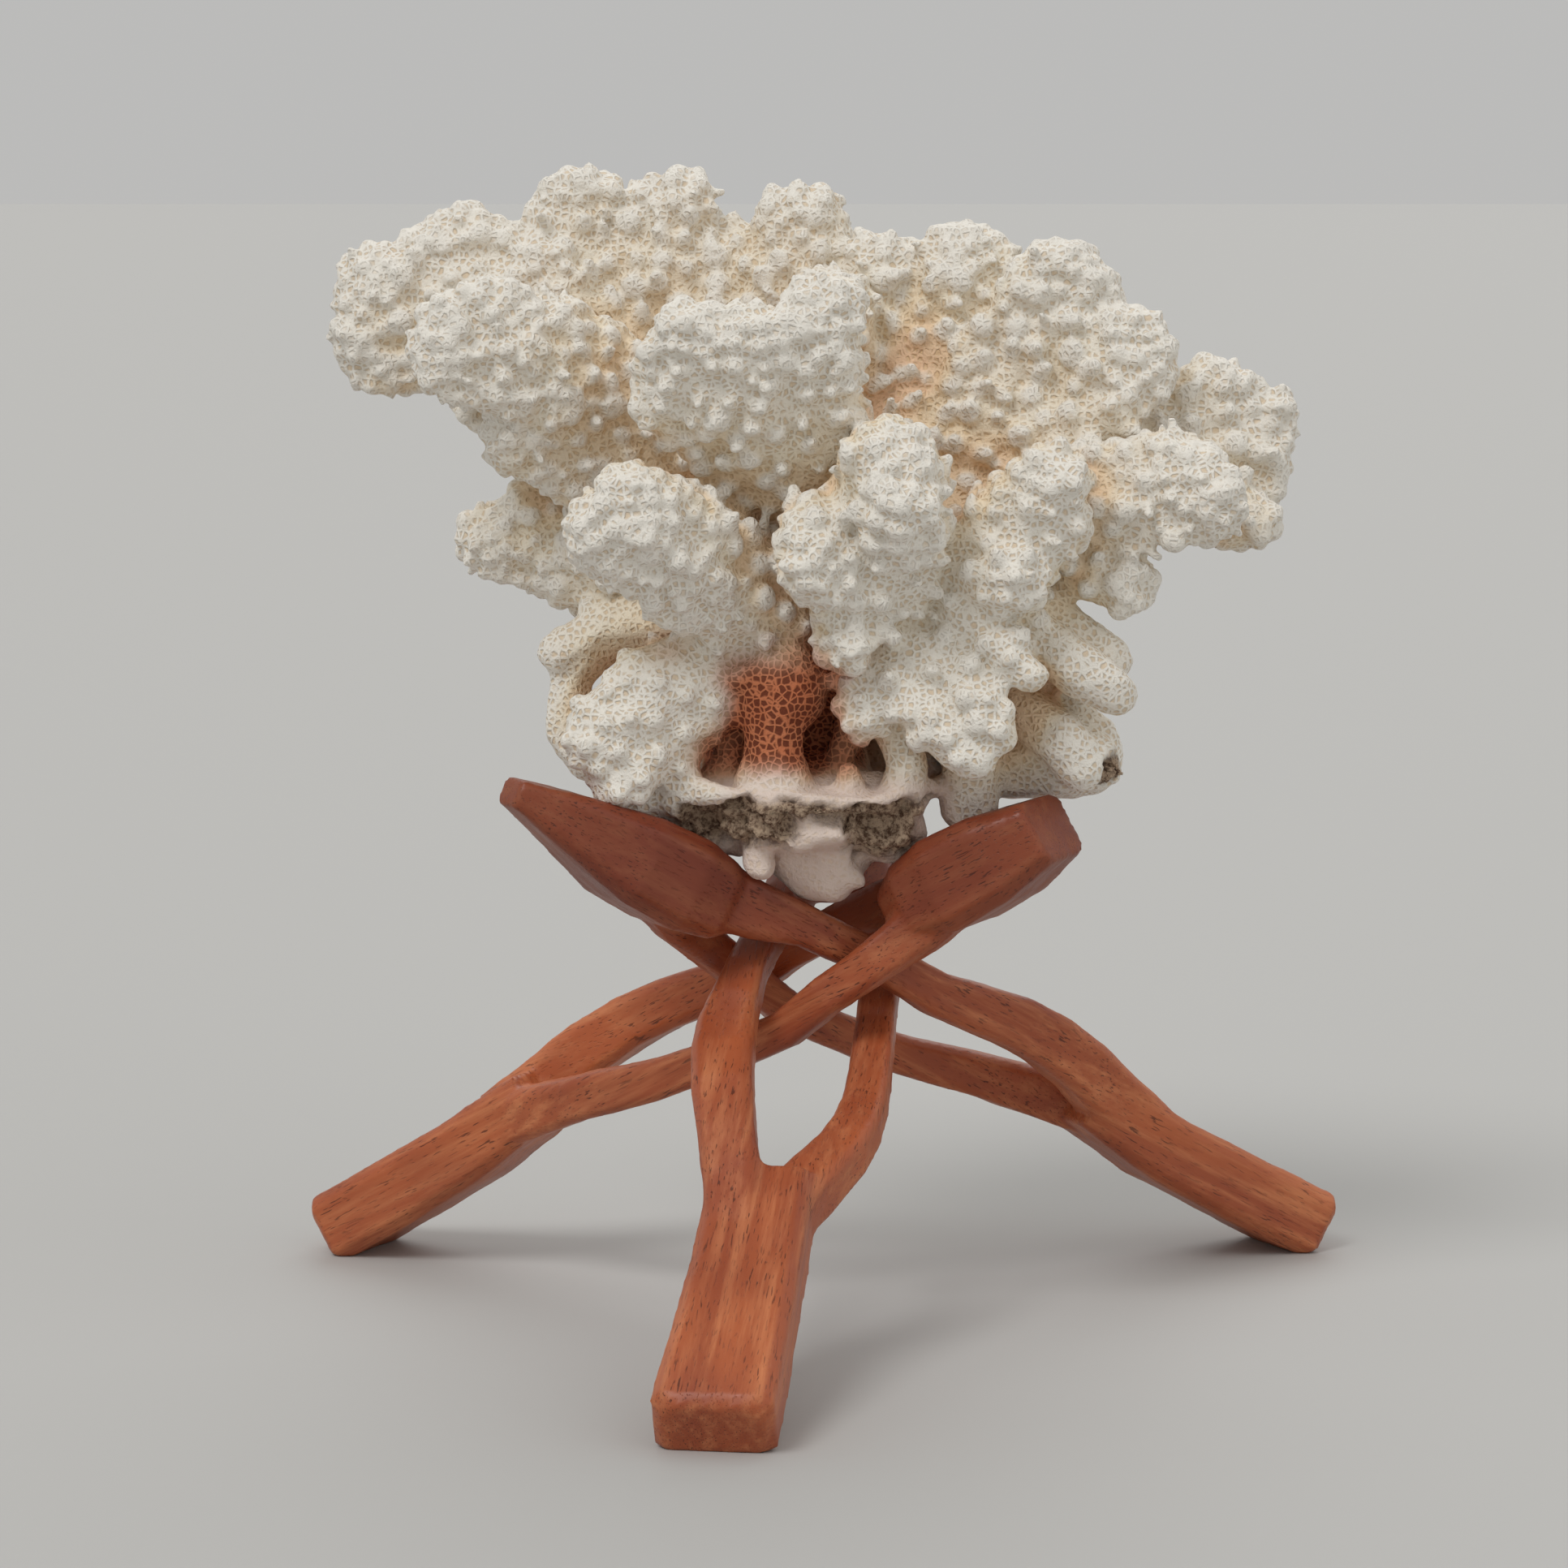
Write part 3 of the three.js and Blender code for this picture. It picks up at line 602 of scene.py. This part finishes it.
def coral_material():
    m = Nodes("coral")
    place = m.add("ShaderNodeTexCoord").outputs["Object"]
    height, open_share = m.field("height"), m.field("open")
    stem, crust, plain = m.field("stem"), m.field("crust"), m.field("plain")
    wander = m.add("ShaderNodeTexNoise", Vector=place, Scale=420.0, Detail=1.0).outputs["Color"]
    bent = m.add("ShaderNodeVectorMath", {"operation": "MULTIPLY_ADD"})
    m.put(bent.inputs[0], wander)
    bent.inputs[1].default_value = (0.0006, 0.0006, 0.0006)
    m.put(bent.inputs[2], place)
    edged = {"feature": "DISTANCE_TO_EDGE"}
    cells = m.add("ShaderNodeTexVoronoi", edged, Vector=bent, Scale=800.0, Randomness=0.8)
    from_wall = cells.outputs["Distance"]
    pit = m.mix(stem, m.ramp(from_wall, 0.09, 0.33), m.ramp(from_wall, 0.05, 0.2))
    grains = m.noise(place, 2400.0, 3.0, 0.6)
    patches = m.noise(place, 60.0, 3.0, 0.55)
    # Partly the coral's own cream and peach tint, partly painted warm shade: knob tips and open faces stay
    # white, the hollows between knobs turn cream, and places closed in by other branches turn peach.
    low = m.ramp(height, 0.75, 0.1)
    shut = m.ramp(open_share, 0.8, 0.3)
    cream_and_warm_shade = m.mix(m.ramp(patches, 0.35, 0.65), colour(240, 228, 202), colour(236, 216, 182))
    peach_and_warm_shade = m.mix(m.ramp(patches, 0.4, 0.6), colour(240, 216, 184), colour(236, 203, 171))
    white = colour(239, 234, 224)
    base = m.mix(shut, cream_and_warm_shade, peach_and_warm_shade)
    skin = m.mix(m.math("MULTIPLY", low, m.ramp(open_share, 1.0, 0.5)), white, base)
    orange = m.mix(m.ramp(patches, 0.3, 0.7), colour(208, 136, 98), colour(190, 106, 68))
    skin = m.mix(stem, skin, orange)
    skin = m.mix(m.math("MULTIPLY", plain, m.ramp(stem, 0.5, 0.1)), skin, colour(226, 208, 196))
    # Painted shade in the pits: the middles of the cells are darkened, more in the hollows between knobs,
    # darkest (to red-brown) on the stem, and less on the plate.
    pit_shade = m.mix(stem, colour(214, 184, 142), colour(84, 26, 12))
    depth = m.math("MULTIPLY_ADD", m.math("MAXIMUM", m.math("MULTIPLY", low, 0.7), stem), 0.75, 0.08)
    pit_shade_share = m.math("MULTIPLY", pit, m.math("MULTIPLY", depth, m.math("MULTIPLY_ADD", plain, -0.6, 1.0)))
    skin = m.mix(pit_shade_share, skin, pit_shade)
    # Partly real brown dirt on the broken face, partly painted shade: the face is darkened overall and
    # darkest in the crevices between its crumbs.
    crumb = m.noise(place, 800.0, 4.0, 0.7)
    crust_dirt_and_shade = m.mix(m.ramp(crumb, 0.36, 0.6), colour(90, 66, 50), colour(182, 158, 134))
    skin = m.mix(crust, skin, crust_dirt_and_shade)
    m.put(m.shader.inputs["Base Color"], skin)
    m.shader.inputs["Roughness"].default_value = 0.8
    m.shader.inputs["Specular IOR Level"].default_value = 0.25
    sunk = m.math("MULTIPLY", pit, m.math("MULTIPLY_ADD", plain, 0.5, -0.8))
    relief = m.math("ADD", sunk, m.math("MULTIPLY", grains, 0.8))
    relief = m.math("ADD", relief, m.math("MULTIPLY", crumb, m.math("MULTIPLY", crust, 3.0)))
    bump = m.add("ShaderNodeBump", Strength=0.7, Distance=0.0005, Height=relief)
    m.put(m.shader.inputs["Normal"], bump.outputs[0])
    return m.material


def wood_material():
    m = Nodes("wood")
    grain = m.field("grain", "Vector")
    streaked = m.add("ShaderNodeMapping", Vector=grain)
    streaked.inputs["Scale"].default_value = (0.06, 1.0, 1.0)
    streak = m.noise(streaked, 420.0, 4.0, 0.65)
    bands = m.noise(streaked, 80.0, 2.0, 0.5)
    pored = m.add("ShaderNodeMapping", Vector=grain)
    pored.inputs["Scale"].default_value = (0.11, 1.0, 1.0)
    pore = m.ramp(m.noise(pored, 3200.0, 1.0, 0.5), 0.39, 0.31)
    sparse = m.ramp(m.noise(grain, 120.0, 2.0, 0.5), 0.42, 0.62)
    tone = m.mix(m.ramp(bands, 0.35, 0.65), colour(188, 101, 60), colour(160, 80, 48))
    tone = m.mix(m.ramp(streak, 0.4, 0.75), tone, colour(206, 128, 84))
    tone = m.mix(m.ramp(m.noise(grain, 45.0, 2.0, 0.5), 0.35, 0.7, 0.0, 0.35), tone, colour(120, 48, 32))
    # Painted shade: the wood is darkened towards dark red-brown from 55 mm to 80 mm up, over the blades.
    rise = m.add("ShaderNodeSeparateXYZ", Vector=m.add("ShaderNodeTexCoord").outputs["Object"]).outputs["Z"]
    tone = m.mix(m.ramp(rise, 0.055, 0.08, 0.0, 0.65), tone, colour(96, 38, 26))
    pore_share = m.math("MULTIPLY", pore, m.math("MULTIPLY_ADD", sparse, 0.5, 0.2))
    tone = m.mix(pore_share, tone, colour(56, 22, 14))
    m.put(m.shader.inputs["Base Color"], tone)
    m.put(m.shader.inputs["Roughness"], m.ramp(streak, 0.3, 0.7, 0.36, 0.5))
    m.shader.inputs["Specular IOR Level"].default_value = 0.35
    relief = m.math("SUBTRACT", m.math("MULTIPLY", streak, 0.5), pore)
    bump = m.add("ShaderNodeBump", Strength=0.5, Distance=0.00015, Height=relief)
    m.put(m.shader.inputs["Normal"], bump.outputs[0])
    return m.material


# ---- the object ----

def broken_face(place, normals):
    """1 on the crumbly face where the plate broke off, 0 elsewhere. place is in millimetres from the hub."""
    x, y, z = (place + 1.5 * lumps(place, 4, 21)[:, None] + 0.6 * lumps(place, 1.5, 22)[:, None]).T
    facing = smoothstep(0.2, 0.6, normals @ [0, -0.95, -0.3])
    top = 92.6 + 1.5 * np.exp(-(((x + 6) / 8) ** 2)) - 1.6 * smoothstep(-14, -22, x)
    left_part = smoothstep(-26, -24, x) * smoothstep(7, 5, x) * smoothstep(84.2, 85.4, z)
    right_part = smoothstep(3, 5, x) * smoothstep(22, 20, x) * smoothstep(80.5, 82, z)
    hollow = smoothstep(-5, -3, x) * smoothstep(7, 5, x) * smoothstep(90.5, 89, z)
    face = np.maximum(left_part, right_part) * (1 - hollow)
    crumb = smoothstep(4.5, 3.5, np.linalg.norm(place - [52, -13.5, 97], axis=1))
    return np.maximum(face * facing * smoothstep(top + 0.4, top - 0.4, z) * smoothstep(-12, -15, y), crumb)


def stain(place, open_share):
    """How orange the coral is: on the stem and in the shade round it."""
    x, y, z = (place + 1.5 * lumps(place, 5, 23)[:, None]).T
    on_stem = smoothstep(11, 6.5, np.abs(x + 7)) * smoothstep(-6, -12, y) * smoothstep(95.5, 101, z)
    on_stem = on_stem * smoothstep(121, 113, z)
    spread = smoothstep(-31, -24, x) * smoothstep(14, 7, x) * smoothstep(94, 99, z) * smoothstep(124, 116, z)
    spread = spread * smoothstep(0.9, 0.55, open_share)
    middle = smoothstep(30, 22, np.hypot(x, y + 2)) * smoothstep(93, 98, z) * smoothstep(126, 116, z)
    shade = middle * smoothstep(0.55, 0.25, open_share)
    return np.clip(np.maximum.reduce([on_stem, 0.85 * spread, shade]), 0, 1)


def build_coral():
    rng = np.random.default_rng(11)
    core, core_faces = joined_core()
    core_normals = normals_of(core, core_faces)
    coarse, open_share, bulge, calm, label = measured_core(core, core_faces, rng)
    link = nearest(coarse, core)
    knob_points, knob_faces = knobs(
        core, core_faces, core_normals, open_share[link], bulge[link], calm[link], rng
    )
    points = np.concatenate([core, knob_points])
    triangles = np.concatenate([core_faces, knob_faces + len(core)])
    points, triangles = thinned(*reskinned(points, triangles, SKIN_VOXEL), SKIN_TRIANGLES)
    points = smoothed(points, triangles, 3, 0.5)
    link = nearest(coarse, points)
    normals = normals_of(points, triangles)
    crust = broken_face((points - HUB) / MM, normals)
    crumbs = lumps(points, 3.4 * MM, 31) + 0.8 * lumps(points, 1.5 * MM, 32)
    crumbs = crumbs + 0.5 * lumps(points, 0.9 * MM, 33)
    points = points - normals * (crust * (1.5 + 1.5 * crumbs))[:, None] * MM
    normals = normals_of(points, triangles)
    rough = 0.2 * lumps(points, 1.9 * MM, 7) + 0.12 * lumps(points, 0.9 * MM, 8)
    points = points + normals * rough[:, None] * MM
    normals = normals_of(points, triangles)
    core_tree = BVHTree.FromPolygons(core.tolist(), core_faces.tolist())
    height = np.fromiter((core_tree.find_nearest(p)[3] for p in points), float, len(points)) / (2.5 * MM)
    place = (points - HUB) / MM
    plate_zone = smoothstep(99, 94, place[:, 2]) * smoothstep(30, 26, np.hypot(place[:, 0], place[:, 1]))
    fields = {
        "height": np.clip(height, 0, 1),
        "open": smoothed(open_share[link][:, None], triangles, 4)[:, 0],
        "stem": smoothed(stain(place, open_share[link])[:, None], triangles, 4)[:, 0],
        "crust": smoothed(crust[:, None], triangles, 1)[:, 0],
        "plain": plate_zone,
    }
    owner = np.median(label[link][triangles], axis=1).astype(int)
    material = coral_material()
    skin = BVHTree.FromPolygons(points.tolist(), triangles.tolist())
    for number, name in enumerate(CORAL_NODES):
        own_points, own_faces, used = compact(points, triangles[owner == number])
        shut_points, shut_faces = closed(own_points, own_faces, skin)
        extra = len(shut_points) - len(own_points)
        own_normals = np.concatenate([normals[used], np.tile([[0, 0, 1.0]], (extra, 1))])
        own_fields = {k: np.concatenate([v[used], np.zeros(extra)]) for k, v in fields.items()}
        shape = (shut_points, shut_faces, own_normals, own_fields)
        add_piece(name + "_skin", *shape, material, "coral", [name])


def build_legs():
    material = wood_material()
    for name, azimuth in LEG_AZIMUTHS.items():
        mesh = frame["nodes"][name].data
        points, index = np.unique(np.round(points_of(mesh), 7), axis=0, return_inverse=True)
        triangles = index.reshape(-1)[triangles_of(mesh)]
        points, triangles = reskinned(points, triangles, LEG_VOXEL)
        points = relaxed(points, triangles, 6)
        points, triangles = thinned(points, triangles, LEG_TRIANGLES)
        carved = 0.22 * lumps(points, 8 * MM, 41) + 0.06 * lumps(points, 2 * MM, 42)
        points = points + normals_of(points, triangles) * carved[:, None] * MM
        points[:, 2] = np.maximum(points[:, 2], 0)
        turn = math.radians(azimuth + 180)
        along = np.array([math.cos(turn), math.sin(turn), 0])
        left = np.array([-math.sin(turn), math.cos(turn), 0])
        slope = math.radians(GRAIN_SLOPE)
        fibre = along * math.cos(slope) + np.array([0, 0, math.sin(slope)])
        over = np.cross(fibre, left)
        own = (points - HUB) @ np.stack([fibre, left, over], 1) + [LEG_AZIMUTHS[name] * MM, 0, 0]
        shape = (points, triangles, normals_of(points, triangles), {})
        piece = add_piece(name + "_wood", *shape, material, "wood", [name])
        field = piece.data.attributes.new("grain", "FLOAT_VECTOR", "POINT")
        field.data.foreach_set("vector", own.astype(np.float32).ravel())


# ---- the studio ----

def plain_material(name, value, roughness):
    m = Nodes(name)
    m.shader.inputs["Base Color"].default_value = value
    m.shader.inputs["Roughness"].default_value = roughness
    return m.material


def add_floor():
    side = 6.0
    points = np.array([[-side, -side, 0], [side, -side, 0], [side, side, 0], [-side, side, 0]])
    floor = bpy.data.objects.new("floor", mesh_from("floor", points, np.array([[0, 1, 2], [0, 2, 3]])))
    floor.data.materials.append(plain_material("floor", colour(184, 183, 180), 0.7))
    bpy.context.scene.collection.objects.link(floor)


def add_sun(name, azimuth, elevation, softness, strength):
    """A far soft light. Azimuth is degrees to the right of the camera's side of the object."""
    data = bpy.data.lights.new(name, "SUN")
    data.angle = math.radians(softness)
    data.energy = strength
    light = bpy.data.objects.new(name, data)
    turn, rise = math.radians(azimuth), math.radians(elevation)
    to_light = Vector((math.sin(turn) * math.cos(rise), -math.cos(turn) * math.cos(rise), math.sin(rise)))
    light.rotation_euler = to_light.to_track_quat("Z", "Y").to_euler()
    bpy.context.scene.collection.objects.link(light)


def add_studio():
    add_sun("key", -38, 52, 24, 1.2)
    add_sun("fill", 55, 30, 60, 0.35)
    add_sun("back", 170, 45, 50, 0.6)
    world = bpy.data.worlds.new("studio")
    world.use_nodes = True
    world.node_tree.nodes["Background"].inputs["Color"].default_value = (1.0, 0.995, 0.98, 1)
    world.node_tree.nodes["Background"].inputs["Strength"].default_value = 0.5
    bpy.context.scene.world = world
    bpy.context.scene.view_settings.view_transform = "Standard"


def add_camera():
    data = bpy.data.cameras.new("camera")
    data.lens = CAMERA_LENS
    data.sensor_width = CAMERA_SENSOR
    camera = bpy.data.objects.new("camera", data)
    rise = math.radians(CAMERA_ELEVATION)
    aim = Vector(HUB + CAMERA_AIM)
    back = Vector((0, -math.cos(rise), math.sin(rise)))
    camera.location = aim + back * CAMERA_DISTANCE
    camera.rotation_euler = (-back).to_track_quat("-Z", "Y").to_euler()
    bpy.context.scene.collection.objects.link(camera)
    bpy.context.scene.camera = camera


add_camera()
add_floor()
add_studio()
build_legs()
build_coral()
